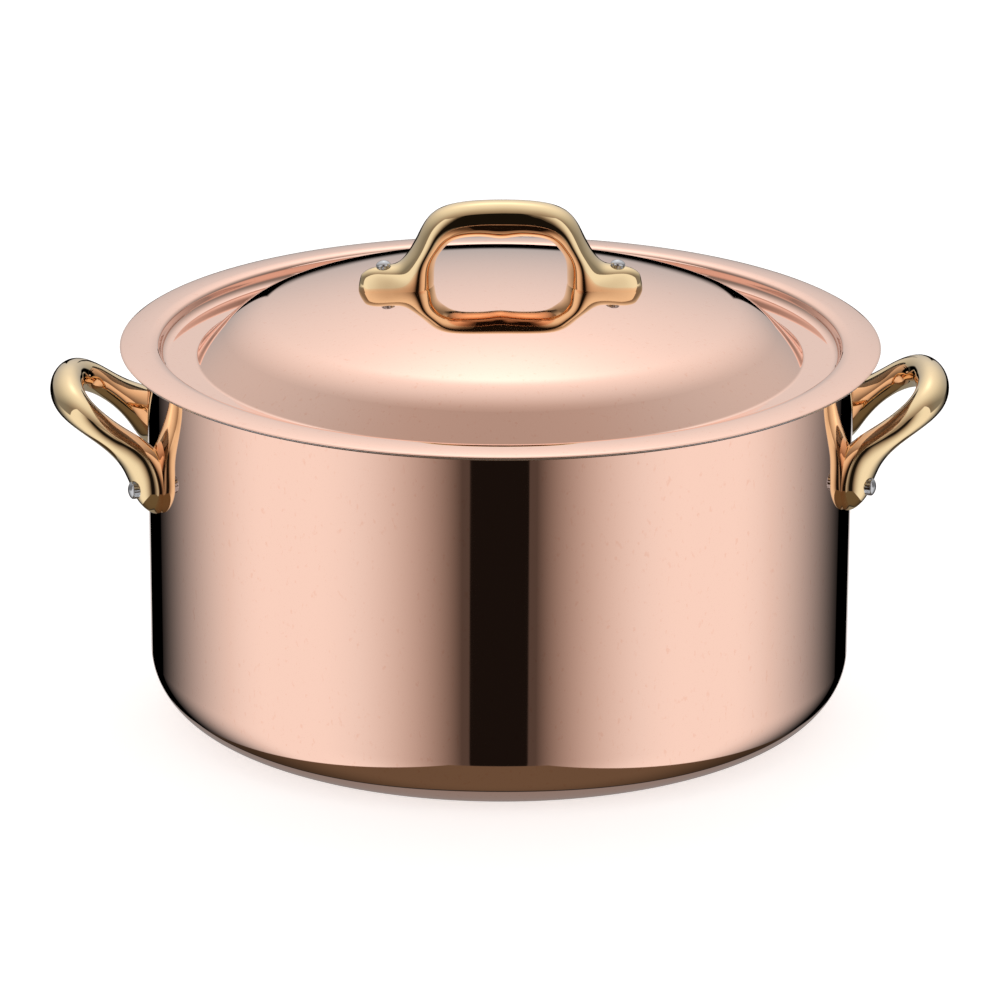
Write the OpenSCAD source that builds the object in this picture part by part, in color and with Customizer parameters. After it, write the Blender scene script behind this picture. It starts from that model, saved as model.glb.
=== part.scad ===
// Copper stewpot with its lid, in millimetres.
// A straight pot of copper sheet bonded to a stainless lining, with two cast brass side handles,
// and a domed lid of the same kind of sheet with a cast brass arch handle. The handles are riveted.
// Z is up, the origin is the middle of the base, and the side handles lie along X.

/* [Pot] */
// Inside diameter of the pot
pot_bore_d = 240; // [230:1:260]
// Height of the rim above the base
pot_h = 128; // [122:1:150]
// Outer radius of the corner between base and wall
pot_corner_r = 19.5; // [14:0.5:26]
// Thickness of the pot's copper
pot_copper_t = 0.9; // [0.7:0.1:1.6]
// Thickness of the pot's stainless lining
pot_lining_t = 0.6; // [0.4:0.1:0.9]

/* [Lid] */
// Thickness of the lid's copper
lid_copper_t = 0.6; // [0.5:0.1:0.8]
// Thickness of the lid's stainless lining
lid_lining_t = 0.9; // [0.7:0.1:1.1]
// How far the flange stands out past the pot's wall
lid_overhang = 9.1; // [7:0.1:12]
// Width of the flange's rolled edge
lid_roll_w = 4; // [3:0.1:5]
// How far the flange's edge is rolled down
lid_roll_drop = 0.65; // [0.4:0.05:1]
// Gap all round between the top of the lid's step and the inside of the pot
lid_seat_gap = 1.5; // [0.8:0.1:2]
// Inside radius of the bend from the flange down to the step
lid_bend_r = 0.5; // [0.3:0.1:1]
// Slope of the step down to the channel, in degrees
lid_step_angle = 50; // [45:1:60]
// Depth of the channel's floor below the flange
lid_channel_depth = 3.9; // [3.5:0.1:4.4]
// Radius of the channel's outer corner
lid_channel_r = 1.4; // [1:0.1:1.8]
// Width of the channel's level floor
lid_channel_w = 10.7; // [9:0.1:12]

/* [Dome] */
// Height of the dome above the channel's floor
dome_h = 24.2; // [22:0.2:27]
// Radius of the dome's shoulder
dome_shoulder_r = 32; // [26:1:38]
// Radius of the dome's crown
dome_crown_r = 335; // [300:5:400]
// Slope of the dome's lower wall, in degrees
dome_wall_angle = 42; // [39:1:45]
// Radius of the fold between the channel's floor and the dome
dome_fold_r = 1.6; // [1:0.1:2.4]

/* [Side handles] */
// How far the grip's middle line stands out from the wall
side_reach = 28.2; // [25:0.2:34]
// Distance between the ends of the two feet, round the wall
side_span = 71.6; // [66:0.2:80]
// Height of the feet's lower ends above the base
side_foot_z = 78.3; // [74:0.1:80]
// Height of the grip's middle line above the feet's lower ends
side_rise = 35.4; // [32:0.1:38]
// Thickness of the grip, square to the loop
side_grip_t = 12.5; // [10:0.1:14]
// Width of the grip, in the loop's plane
side_grip_w = 10.4; // [9:0.1:12]
// Thickness of the casting at a foot, before the foot is cut to the wall
side_foot_t = 14.3; // [12.5:0.1:16]
// Width of the casting at a foot
side_foot_w = 20; // [18:0.2:22]
// Height of the finger ridge inside the grip
side_ridge_h = 0.8; // [0.2:0.1:1.5]

/* [Lid handle] */
// Distance between the tips of the two feet
arch_span = 97.2; // [92:0.2:102]
// Height of the grip's top above the lid's apex
arch_h = 28.8; // [27:0.1:31]
// Width of the opening between the legs
arch_gap_w = 46.8; // [43:0.2:50]
// Height of the opening under the grip, above the lid's apex
arch_gap_h = 16.1; // [14.5:0.1:17.5]
// Width of the grip
arch_grip_w = 15.3; // [12:0.1:17]
// Width of the casting at a foot
arch_foot_w = 20; // [18:0.1:22]
// Height of the finger ridge under the grip
arch_ridge_h = 0.9; // [0.2:0.1:1.5]

/* [Rivets] */
// Shank diameter of the pot's rivets
pot_rivet_d = 6; // [5:0.1:7]
// Head diameter of the pot's rivets, inside the pot
pot_rivet_head_d = 14; // [11:0.5:16]
// How far a pot rivet's closed end stands out of its foot
pot_rivet_end_h = 2.3; // [1.8:0.1:3.5]
// How far a pot rivet sits outside the middle line of its foot
pot_rivet_offset = 1; // [0:0.1:2]
// Shank diameter of the lid's rivets
lid_rivet_d = 5; // [4:0.1:6]
// Head diameter of the lid's rivets, under the lid
lid_rivet_head_d = 12; // [10:0.5:14]
// How far a lid rivet's closed end stands out of its foot
lid_rivet_end_h = 2; // [1.6:0.1:3]
// Height of a rivet's head
rivet_head_h = 1.6; // [1.2:0.1:2.2]
// Thickness of a rivet's head at its rim
rivet_rim_t = 0.4; // [0.3:0.1:0.8]
// Height of the dome on a rivet's closed end
rivet_dome_h = 1.2; // [0.6:0.1:1.8]

/* [Hidden] */

// Fineness of revolved and swept shapes: degrees a step in a section's bends, in the dome's crown
// and on a rivet, sides of a handle's section, and rings from one point of its route to the next
bend_step_angle = 6;
crown_step_angle = 1.5;
rivet_step_angle = 15;
section_sides = 24;
rings_each = 5;
$fn = 180;

// How far cutting shapes run past what they cut
overrun = 1;

pot_wall_t = pot_copper_t + pot_lining_t;
pot_bore_r = pot_bore_d / 2;
pot_r = pot_bore_r + pot_wall_t;
lid_t = lid_copper_t + lid_lining_t;
flange_z = pot_h + lid_t;
flange_r = pot_r + lid_overhang;
channel_z = flange_z - lid_channel_depth;
apex_z = channel_z + dome_h;

copper_color = "#d79a7c";
steel_color = "#c9ccd0";
brass_color = "#d9b45a";

// Points of an arc about c, from angle a0 to angle a1
function arc(c, r, a0, a1, step = bend_step_angle) =
    let (n = ceil(abs(a1 - a0) / step))
    [for (i = [0:n]) let (a = a0 + (a1 - a0) * i / n) c + r * [cos(a), sin(a)]];

function heading(v) = atan2(v[1], v[0]);
function rest(p) = [for (i = [1:len(p) - 1]) p[i]];
function reversed(p) = [for (i = [len(p) - 1:-1:0]) p[i]];

// Pot

// The pot's section at a depth below its outer skin: base, corner and wall
function pot_line(depth) = concat(
    [[0, depth]],
    arc([pot_r - pot_corner_r, pot_corner_r], pot_corner_r - depth, -90, 0),
    [[pot_r - depth, pot_h]]);

module pot_sheet(from, to) {
    rotate_extrude()
        polygon(concat(pot_line(from), reversed(pot_line(to))));
}

// Lid

// The rolled edge of the flange is an arc that leaves the level flange smoothly
roll_r = (pow(lid_roll_w, 2) + pow(lid_roll_drop, 2)) / (2 * lid_roll_drop);
roll_angle = asin(lid_roll_w / roll_r);

// The step slopes down from a bend to a corner, each an arc that it leaves smoothly. What is left
// of its height between the two arcs is straight, and the channel's floor starts under the corner.
bend_top_r = lid_bend_r + lid_t;
bend_x = pot_bore_r - lid_seat_gap;
arcs_r = bend_top_r + lid_channel_r;
straight_h = lid_channel_depth - arcs_r * (1 - cos(lid_step_angle));
corner_x = bend_x - arcs_r * sin(lid_step_angle) - straight_h / tan(lid_step_angle);
dome_foot_r = corner_x - lid_channel_w;

// The dome rises from its fold in a straight wall. The shoulder's arc touches that wall and the
// crown's arc, so its centre moves up along the wall until it is as far from the crown's centre as
// the difference between the two radii.
crown_centre = [0, apex_z - dome_crown_r];
fold_centre = [dome_foot_r, channel_z + dome_fold_r];
shoulder_low_angle = 90 - dome_wall_angle;
wall_out = [cos(shoulder_low_angle), sin(shoulder_low_angle)];
wall_up = [-wall_out[1], wall_out[0]];
from_crown = fold_centre - (dome_fold_r + dome_shoulder_r) * wall_out - crown_centre;
wall_h = sqrt(pow(from_crown * wall_up, 2) - from_crown * from_crown
              + pow(dome_crown_r - dome_shoulder_r, 2)) - from_crown * wall_up;
shoulder_centre = crown_centre + from_crown + wall_h * wall_up;
shoulder_high_angle = heading(shoulder_centre - crown_centre);

// The lid's section at a depth below its top skin, from the flange's edge to the apex
function lid_line(depth) = concat(
    arc([flange_r - lid_roll_w, flange_z - roll_r], roll_r - depth, 90 - roll_angle, 90),
    arc([bend_x, flange_z - bend_top_r], bend_top_r - depth, 90, 90 + lid_step_angle),
    arc([corner_x, channel_z + lid_channel_r], lid_channel_r + depth, lid_step_angle - 90, -90),
    arc(fold_centre, dome_fold_r + depth, 270, 180 + shoulder_low_angle),
    arc(shoulder_centre, dome_shoulder_r - depth, shoulder_low_angle, shoulder_high_angle),
    rest(arc(crown_centre, dome_crown_r - depth, shoulder_high_angle, 90, crown_step_angle)));

module lid_sheet(from, to) {
    rotate_extrude()
        polygon(concat(lid_line(from), reversed(lid_line(to))));
}

// Everything below a depth of the lid, down to the channel, as a cutter
module below_lid(depth) {
    floor_z = channel_z - lid_t;
    rotate_extrude()
        polygon(concat([for (p = lid_line(depth)) if (p[0] <= dome_foot_r) p], [[0, floor_z],
                       [dome_foot_r, floor_z]]));
}

// Cast handles
// A handle is one casting swept along a smooth route. Half of the route is given, from the end
// of a foot to the middle of the grip, and the other half mirrors it. Each row of a table is
// one control point of a cubic B-spline, as shares of the sizes above.

// Route of half a side handle: out from the wall, round the wall and up. The curve passes a little
// inside its control points, so the last share of a size can be over 1.
side_out_share = [0.043, 0.043, 0.135, 0.457, 0.762, 0.957, 1.021];
side_round_share = [1, 0.969, 0.765, 0.665, 0.592, 0.405, 0];
side_up_share = [0, 0.209, 0.468, 0.671, 0.847, 0.961, 1.02];
// Its section: the first four rows follow the foot's size, the others the grip's
side_foot_t_share = [0.7, 0.97, 1, 0.594];
side_grip_t_share = [0.776, 0.92, 1.04];
side_foot_w_share = [0.2, 0.8, 1, 0.8];
side_grip_w_share = [1.269, 1.077, 0.962];

// The lid's handle lies in one upright plane, so it is given by two rails: its top and its
// underside, out from the middle and up from the lid's apex. In a foot, the lower rail runs
// under the dome's skin, where the foot is cut away.
arch_top_out_share = [1, 0.932, 0.749, 0.682, 0.586, 0.484, 0];
arch_top_up_share = [0.046, 0.176, 0.19, 0.257, 0.533, 0.957, 1.005];
arch_under_out_share = [2.08, 1.79, 0.915, 1.014, 0.835, 0.674, 0];
arch_under_up_share = [-0.416, -0.62, -0.68, 0.409, 0.761, 1.011, 1];
arch_foot_w_share = [0.25, 0.525, 0.89, 1];
arch_grip_w_share = [1.229, 1.059, 0.954];

// Places of the rivets along the routes, in points of the route
pot_rivet_place = 1.1;
lid_rivet_place = 1.6;

// The route's rings: closer together at the rounded ends of the feet
end_ring_share = [0, 0.02, 0.08, 0.18, 0.35, 0.6, 0.8];
// Parts of the first span over which a foot's end is rounded off: a side handle's foot, and the
// width and the upper edge of an arch handle's foot
side_round_off_share = 0.9;
arch_round_off_share = 0.6;
arch_edge_off_share = 0.35;
// Where the section turns from following the wall to following the loop, in points of the route
turn_from = 1.2;
turn_over = 2.6;

half = len(side_out_share) - 1;
ring_places = concat(
    end_ring_share,
    [for (i = [rings_each:rings_each * (2 * half - 1)]) i / rings_each],
    [for (s = reversed(end_ring_share)) 2 * half - s]);

// A control table's full length: mirrored past the middle, with one more point at each end so that
// the curve starts and ends on its first and last points
function whole(p, m) = concat(
    [2 * p[0] - p[1]], p,
    [for (i = [half - 1:-1:0]) [for (k = [0:len(m) - 1]) p[i][k] * m[k]]],
    [[for (k = [0:len(m) - 1]) (2 * p[0][k] - p[1][k]) * m[k]]]);

// Value and direction of the uniform cubic B-spline at place t
function spline(q, t) =
    let (i = min(floor(t), len(q) - 4), f = t - i, g = 1 - f)
    (g * g * g * q[i] + (3 * f * f * f - 6 * f * f + 4) * q[i + 1]
     + (3 * g * g * g - 6 * g * g + 4) * q[i + 2] + f * f * f * q[i + 3]) / 6;
function spline_dir(q, t) =
    let (i = min(floor(t), len(q) - 4), f = t - i, g = 1 - f,
         d = (-g * g * q[i] + (3 * f * f - 4 * f) * q[i + 1]
              + (-3 * f * f + 2 * f + 1) * q[i + 2] + f * f * q[i + 3]) / 2)
    d / norm(d);

function smooth_step(x) = let (c = min(max(x, 0), 1)) c * c * (3 - 2 * c);
function bell(x) = exp(-x * x);

// How full the section is at place t: nothing at the very end of a foot, whole past its rounding
function fullness(t, over) =
    let (s = min(t, 2 * half - t))
    sqrt(1 - pow(1 - min(s / over, 1), 2));

// Half thicknesses or half widths down the route, from the foot's share table and the grip's
function half_sizes(foot, foot_share, grip, grip_share) =
    concat(foot * foot_share / 2, grip * grip_share / 2);

// One elliptical ring of the casting, from its middle, two directions and the half size along
// each. Its two ridges stand out on the far side of each.
function ring(centre, across, beside, sizes, ridges) =
    [for (k = [0:section_sides - 1])
        let (a = 360 * k / section_sides)
        centre + (sizes[0] * cos(a) - ridges[0] * max(-cos(a), 0)) * across
        + (sizes[1] * sin(a) - ridges[1] * max(-sin(a), 0)) * beside];

// Closes a stack of rings into a solid. The first and last rings are single points.
module casting(rings) {
    n = len(rings);
    points = concat([rings[0][0]], [for (i = [1:n - 2]) each rings[i]], [rings[n - 1][0]]);
    last = len(points) - 1;
    function at(i, k) = 1 + (i - 1) * section_sides + k % section_sides;
    faces = concat(
        [for (k = [0:section_sides - 1]) [0, at(1, k), at(1, k + 1)]],
        [for (i = [1:n - 3], k = [0:section_sides - 1])
            each [[at(i, k), at(i + 1, k + 1), at(i, k + 1)],
                  [at(i, k), at(i + 1, k), at(i + 1, k + 1)]]],
        [for (k = [0:section_sides - 1]) [last, at(n - 2, k + 1), at(n - 2, k)]]);
    polyhedron(points, faces);
}

// Side handle, at the right of the pot

// A place by its distance out from the wall, its distance round the wall and its height
function on_wall(p) =
    let (a = p[1] / pot_r * 180 / PI)
    [(pot_r + p[0]) * cos(a), (pot_r + p[0]) * sin(a), p[2]];

side_route = [for (i = [0:half])
    on_wall([side_reach * side_out_share[i], side_span / 2 * side_round_share[i],
             side_foot_z + side_rise * side_up_share[i]])];
side_t = half_sizes(side_foot_t, side_foot_t_share, side_grip_t, side_grip_t_share);
side_w = half_sizes(side_foot_w, side_foot_w_share, side_grip_w, side_grip_w_share);
side_sizes = [for (i = [0:half]) [side_t[i], side_w[i]]];
// The finger ridge is a low bell of this width, either side of the grip's middle
side_ridge_w = side_span / 12;
// The loop's lean: square to the line from the legs to the grip, seen from the side
side_lean = side_route[half] - side_route[half - 3];
side_square = [side_lean[2], 0, -side_lean[0]] / norm([side_lean[0], side_lean[2]]);

module side_casting() {
    route = whole(side_route, [1, -1, 1]);
    sizes = whole(side_sizes, [1, 1]);
    casting([for (t = ring_places)
        let (c = spline(route, t),
             along = spline_dir(route, t),
             out = [c[0], c[1], 0] / norm([c[0], c[1]]),
             turned = smooth_step((min(t, 2 * half - t) - turn_from) / turn_over),
             toward = (1 - turned) * out + turned * side_square,
             flat = toward - (toward * along) * along,
             across = flat / norm(flat),
             ridge = side_ridge_h * bell(c[1] / side_ridge_w))
        ring(c, across, cross(along, across),
             spline(sizes, t) * fullness(t, side_round_off_share), [0, ridge])]);
}

// Rivets of the pot

// A pot rivet stands straight out of the wall at its place on the handle's route, and it is as long
// as the wall, the foot there and the end that stands out of it
pot_rivet_point = spline(whole(side_route, [1, -1, 1]), pot_rivet_place);
pot_rivet_out = [pot_rivet_point[0], pot_rivet_point[1]];
pot_rivet_angle = heading(pot_rivet_out) + pot_rivet_offset / pot_r * 180 / PI;
pot_rivet_grip = norm(pot_rivet_out) - pot_r + spline(whole(side_sizes, [1, 1]), pot_rivet_place)[0];

// Puts a shape made along Z at a rivet of the right-hand handle: side is -1 for front, 1 for rear
module at_pot_rivet(side) {
    rotate([0, 0, side * pot_rivet_angle])
        translate([0, 0, pot_rivet_point[2]])
            rotate([0, 90, 0])
                children();
}

module pot_rivet_hole(side) {
    at_pot_rivet(side)
        cylinder(d = pot_rivet_d, h = pot_r + side_reach);
}

// Points of a low dome's arc, from its rim to its top, with the rim at height z
function dome_arc(r, h, z) =
    let (dome_r = (r * r + h * h) / (2 * h), rim_angle = acos(r / dome_r))
    arc([0, z + h - dome_r], dome_r, rim_angle, 90, rivet_step_angle);

// A rivet's head, below z = 0, with a skirt above it that is cut to the surface it seats on
module rivet_head(d) {
    rotate_extrude()
        mirror([0, 1])
            polygon(concat([[0, -overrun], [d / 2, -overrun]],
                           dome_arc(d / 2, rivet_head_h - rivet_rim_t, rivet_rim_t)));
}

// A rivet's shank, from inside its head up to its domed end at height h
module rivet_shank(d, h) {
    rotate_extrude()
        polygon(concat([[0, -rivet_rim_t], [d / 2, -rivet_rim_t]],
                       dome_arc(d / 2, rivet_dome_h, h - rivet_dome_h)));
}

// A pot rivet: its head follows the curve of the lining, so that it seats all round
module pot_rivet(side) {
    intersection() {
        at_pot_rivet(side)
            translate([0, 0, pot_bore_r])
                rivet_head(pot_rivet_head_d);
        cylinder(r = pot_bore_r, h = pot_h);
    }
    at_pot_rivet(side)
        translate([0, 0, pot_bore_r])
            rivet_shank(pot_rivet_d, pot_wall_t + pot_rivet_grip + pot_rivet_end_h);
}

// Lid handle

// A rail of the arch, from shares of a half width and of a height
function rail(half_w, out_share, h, up_share) =
    whole([for (i = [0:half]) [half_w * out_share[i], apex_z + h * up_share[i]]], [-1, 1]);

arch_top = rail(arch_span / 2, arch_top_out_share, arch_h, arch_top_up_share);
arch_under = rail(arch_gap_w / 2, arch_under_out_share, arch_gap_h, arch_under_up_share);
arch_half_w = half_sizes(arch_foot_w, arch_foot_w_share, arch_grip_w, arch_grip_w_share);
arch_sizes = whole([for (w = arch_half_w) [w]], [1]);
arch_ridge_w = arch_span / 17;

// Each ring reaches from one rail to the other, and is as wide as the table says
module arch_casting() {
    casting([for (t = ring_places)
        let (top = spline(arch_top, t),
             under = spline(arch_under, t),
             middle = (top + under) / 2,
             half_t = norm(top - under) / 2,
             up = (top - under) / 2 / half_t,
             ridge = arch_ridge_h * bell(middle[0] / arch_ridge_w))
        ring([middle[0], 0, middle[1]], [up[0], 0, up[1]], [0, 1, 0],
             [half_t * fullness(t, arch_edge_off_share),
              spline(arch_sizes, t)[0] * fullness(t, arch_round_off_share)], [ridge, 0])]);
}

// Rivets of the lid

// A lid rivet stands square to the crown, under its place on the handle's upper rail
lid_rivet_out = spline(arch_top, lid_rivet_place) - crown_centre;
lid_rivet_angle = 90 - heading(lid_rivet_out);
lid_rivet_grip = norm(lid_rivet_out) - dome_crown_r;

// Puts a shape made along Z on a rivet of the lid, with z = 0 at the lid's top skin
module at_lid_rivet(side) {
    translate([0, 0, crown_centre[1]])
        rotate([0, side * lid_rivet_angle, 0])
            translate([0, 0, dome_crown_r])
                children();
}

module lid_rivet_hole(side) {
    at_lid_rivet(side)
        translate([0, 0, -arch_h / 2])
            cylinder(d = lid_rivet_d, h = arch_h);
}

// A lid rivet: its head follows the underside of the dome
module lid_rivet(side) {
    intersection() {
        at_lid_rivet(side)
            translate([0, 0, -lid_t])
                rivet_head(lid_rivet_head_d);
        below_lid(lid_t);
    }
    at_lid_rivet(side)
        translate([0, 0, -lid_t])
            rivet_shank(lid_rivet_d, lid_t + lid_rivet_grip + lid_rivet_end_h);
}

// The pieces

module pot_copper_body() {
    color(copper_color)
        difference() {
            pot_sheet(0, pot_copper_t);
            for (turn = [0, 180], side = [-1, 1])
                rotate([0, 0, turn])
                    pot_rivet_hole(side);
        }
}

module pot_steel_lining() {
    color(steel_color)
        difference() {
            pot_sheet(pot_copper_t, pot_wall_t);
            for (turn = [0, 180], side = [-1, 1])
                rotate([0, 0, turn])
                    pot_rivet_hole(side);
        }
}

// Each foot is cut to the curve of the wall, so that it seats all over
module side_handle() {
    difference() {
        side_casting();
        cylinder(r = pot_r, h = pot_h);
        for (side = [-1, 1])
            pot_rivet_hole(side);
    }
}

module right_side_handle() {
    color(brass_color)
        side_handle();
}

module left_side_handle() {
    color(brass_color)
        rotate([0, 0, 180])
            side_handle();
}

module right_front_rivet() {
    color(steel_color)
        pot_rivet(-1);
}

module right_rear_rivet() {
    color(steel_color)
        pot_rivet(1);
}

module left_front_rivet() {
    color(steel_color)
        rotate([0, 0, 180])
            pot_rivet(1);
}

module left_rear_rivet() {
    color(steel_color)
        rotate([0, 0, 180])
            pot_rivet(-1);
}

module lid_copper_cover() {
    color(copper_color)
        difference() {
            lid_sheet(0, lid_copper_t);
            for (side = [-1, 1])
                lid_rivet_hole(side);
        }
}

module lid_steel_lining() {
    color(steel_color)
        difference() {
            lid_sheet(lid_copper_t, lid_t);
            for (side = [-1, 1])
                lid_rivet_hole(side);
        }
}

// Each foot is cut to the curve of the dome
module lid_handle() {
    color(brass_color)
        difference() {
            arch_casting();
            below_lid(0);
            for (side = [-1, 1])
                lid_rivet_hole(side);
        }
}

module lid_left_rivet() {
    color(steel_color)
        lid_rivet(-1);
}

module lid_right_rivet() {
    color(steel_color)
        lid_rivet(1);
}

pot_copper_body();
pot_steel_lining();
left_side_handle();
right_side_handle();
left_front_rivet();
left_rear_rivet();
right_front_rivet();
right_rear_rivet();
lid_copper_cover();
lid_steel_lining();
lid_handle();
lid_left_rivet();
lid_right_rivet();
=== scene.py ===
# %% [markdown]
# # A copper stewpot with its lid
#
# The pot on the real bench is thirteen pieces: two sheets of metal make the pot, two more make the
# lid, three brass castings are the handles and six stainless rivets hold them on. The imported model
# is loaded first, as a frame that never moves. Every piece made below takes its place from it.

# %% Load the frame
import math

import bmesh
import bpy
import numpy as np
from mathutils import Matrix, Vector


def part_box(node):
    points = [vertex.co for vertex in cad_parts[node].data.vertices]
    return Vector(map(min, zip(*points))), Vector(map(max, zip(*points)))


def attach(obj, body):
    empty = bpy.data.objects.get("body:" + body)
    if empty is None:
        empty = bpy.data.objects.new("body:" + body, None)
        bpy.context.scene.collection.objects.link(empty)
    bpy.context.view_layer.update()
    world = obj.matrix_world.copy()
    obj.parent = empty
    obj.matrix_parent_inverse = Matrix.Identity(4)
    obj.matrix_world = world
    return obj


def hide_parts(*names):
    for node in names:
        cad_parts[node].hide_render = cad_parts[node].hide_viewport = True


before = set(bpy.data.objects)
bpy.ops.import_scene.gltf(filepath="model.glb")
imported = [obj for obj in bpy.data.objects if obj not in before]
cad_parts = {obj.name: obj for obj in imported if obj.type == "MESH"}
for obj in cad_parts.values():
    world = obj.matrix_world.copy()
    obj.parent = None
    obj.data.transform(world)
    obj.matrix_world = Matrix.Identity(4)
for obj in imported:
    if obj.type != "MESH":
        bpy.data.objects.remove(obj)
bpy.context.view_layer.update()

# %% [markdown]
# ## Sizes
#
# The frame tells the sizes that matter most: the pot's radius and height, and how far the lid's
# flange and apex reach. The rest are the maker's own sizes: sheet thicknesses, bend radii and the
# handles' routes. All of them are in metres, so a size in millimetres is multiplied by MM.

# %% Sizes of the pot and the lid
MM = 0.001

pot_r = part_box("pot_copper_body")[1].x
pot_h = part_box("pot_copper_body")[1].z
flange_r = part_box("lid_copper_cover")[1].x
apex_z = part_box("lid_copper_cover")[1].z

pot_copper_t = 0.9 * MM
pot_wall_t = 1.5 * MM
pot_corner_r = 19.5 * MM
lid_copper_t = 0.6 * MM
lid_t = 1.5 * MM
crest_r, crest_h = 121 * MM, 0.2 * MM
edge_roll_r, edge_slope, edge_end_slope = 2 * MM, 11, 40
lip_r, lip_slope = 8 * MM, 22
bend_r = 0.15 * MM
step_angle = 84
channel_depth = 5.7 * MM
channel_r = 3 * MM
dome_foot_r = 104.9 * MM
dome_fold_r = 1.6 * MM
dome_wall_angle = 42
dome_shoulder_r = 32 * MM
dome_crown_r = 335 * MM
edge_r = 0.15 * MM

pot_bore_r = pot_r - pot_wall_t
flange_z = pot_h + lid_t
channel_z = flange_z - channel_depth
print(f"pot {2000 * pot_r:.0f} mm across and {1000 * pot_h:.0f} mm high, lid {2000 * flange_r:.1f} mm")

# %% [markdown]
# ## Outlines
#
# A sheet-metal pot is spun or drawn, so it is round about its axis, and one outline turned about
# that axis makes it. The outline is written as arcs and straight stretches. A straight stretch gets
# a point close to each of its ends: smooth shading then stays in the bend and does not leak along
# the wall, which a mirror finish would show at once.

# %% Arcs, straight stretches and softened corners
BEND_STEP = math.radians(3)
CROWN_STEP = math.radians(0.75)
SUPPORT = 0.25 * MM


def arc(centre, radius, start, end, step=BEND_STEP):
    """Points of an arc in the outline's plane, from one angle to another, in degrees."""
    a0, a1 = math.radians(start), math.radians(end)
    count = max(2, math.ceil(abs(a1 - a0) / step))
    angles = np.linspace(a0, a1, count + 1)
    return [(centre[0] + radius * math.cos(a), centre[1] + radius * math.sin(a)) for a in angles]


def straight(start, end, parts=4):
    """Points between two ends, without the ends: one close to each end and some along the way."""
    a, b = Vector(start), Vector(end)
    reach = (b - a).length
    shares = [SUPPORT / reach] + [i / parts for i in range(1, parts)] + [1 - SUPPORT / reach]
    return [tuple(a.lerp(b, s)) for s in shares]


def soft_corner(before, corner, after, size=edge_r):
    """Rounds one corner of an outline with a small smooth curve."""
    c = Vector(corner)
    a = c + (Vector(before) - c).normalized() * size
    b = c + (Vector(after) - c).normalized() * size
    shares = (0, 0.25, 0.5, 0.75, 1)
    return [tuple(a * (1 - s) ** 2 + c * 2 * s * (1 - s) + b * s ** 2) for s in shares]


print("outline tools ready: bends in steps of", math.degrees(BEND_STEP), "degrees")

# %% [markdown]
# ## Turning an outline with Geometry Nodes
#
# A lathe is a rule: every point of the outline goes round the axis. The tree makes a grid with one
# column for each step round the axis, and moves each of its points to a point of the outline,
# turned by that column's angle. Merging by distance closes the seam and the poles. The same tree
# turns the pot, the lid and the rivets.

# %% The node helper and the lathe tree
def add_node(tree, kind, inputs=None, **settings):
    """Adds a node with its settings. Its inputs are values, or sockets that are linked to it.

    A node given as an input stands for its first output.
    """
    node = tree.nodes.new(kind)
    for name, value in settings.items():
        setattr(node, name, value)
    for key, value in (inputs or {}).items():
        if isinstance(value, bpy.types.Node):
            value = value.outputs[0]
        if isinstance(value, bpy.types.NodeSocket):
            tree.links.new(value, node.inputs[key])
        else:
            node.inputs[key].default_value = value
    return node


def new_tree(name, inputs):
    """A geometry tree with a geometry input, named inputs and a geometry output."""
    tree = bpy.data.node_groups.new(name, "GeometryNodeTree")
    tree.interface.new_socket("Geometry", in_out="INPUT", socket_type="NodeSocketGeometry")
    for label, kind in inputs.items():
        tree.interface.new_socket(label, in_out="INPUT", socket_type=kind)
    tree.interface.new_socket("Geometry", in_out="OUTPUT", socket_type="NodeSocketGeometry")
    return tree, tree.nodes.new("NodeGroupInput").outputs


MERGE = 0.001 * MM


def lathe_tree():
    tree, given = new_tree("Lathe", {"Segments": "NodeSocketInt", "Material": "NodeSocketMaterial"})
    size = add_node(tree, "GeometryNodeAttributeDomainSize", {"Geometry": given["Geometry"]})
    rows = size.outputs["Point Count"]
    columns = add_node(tree, "ShaderNodeMath", {0: given["Segments"], 1: 1.0})
    grid = add_node(tree, "GeometryNodeMeshGrid",
                    {"Vertices X": columns.outputs[0], "Vertices Y": rows})
    index = add_node(tree, "GeometryNodeInputIndex")
    row = add_node(tree, "FunctionNodeIntegerMath", {0: index.outputs[0], 1: rows},
                   operation="MODULO")
    column = add_node(tree, "FunctionNodeIntegerMath", {0: index.outputs[0], 1: rows},
                      operation="DIVIDE_FLOOR")
    position = add_node(tree, "GeometryNodeInputPosition")
    point = add_node(tree, "GeometryNodeSampleIndex", {
        "Geometry": given["Geometry"], "Value": position.outputs[0], "Index": row.outputs[0]},
        data_type="FLOAT_VECTOR")
    share = add_node(tree, "ShaderNodeMath", {0: column.outputs[0], 1: given["Segments"]},
                     operation="DIVIDE")
    angle = add_node(tree, "ShaderNodeMath", {0: share.outputs[0], 1: math.tau},
                     operation="MULTIPLY")
    turned = add_node(tree, "ShaderNodeVectorRotate", {
        "Vector": point.outputs["Value"], "Angle": angle.outputs[0]}, rotation_type="Z_AXIS")
    placed = add_node(tree, "GeometryNodeSetPosition", {
        "Geometry": grid.outputs["Mesh"], "Position": turned.outputs[0]})
    merged = add_node(tree, "GeometryNodeMergeByDistance", {
        "Geometry": placed.outputs[0], "Distance": MERGE})
    smooth = add_node(tree, "GeometryNodeSetShadeSmooth", {"Geometry": merged.outputs[0]})
    real = add_node(tree, "GeometryNodeRealizeInstances", {"Geometry": smooth.outputs[0]})
    coloured = add_node(tree, "GeometryNodeSetMaterial", {
        "Geometry": real.outputs[0], "Material": given["Material"]})
    add_node(tree, "NodeGroupOutput", {"Geometry": coloured.outputs[0]})
    return tree


LATHE = lathe_tree()
print("lathe tree:", len(LATHE.nodes), "nodes")

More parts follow.
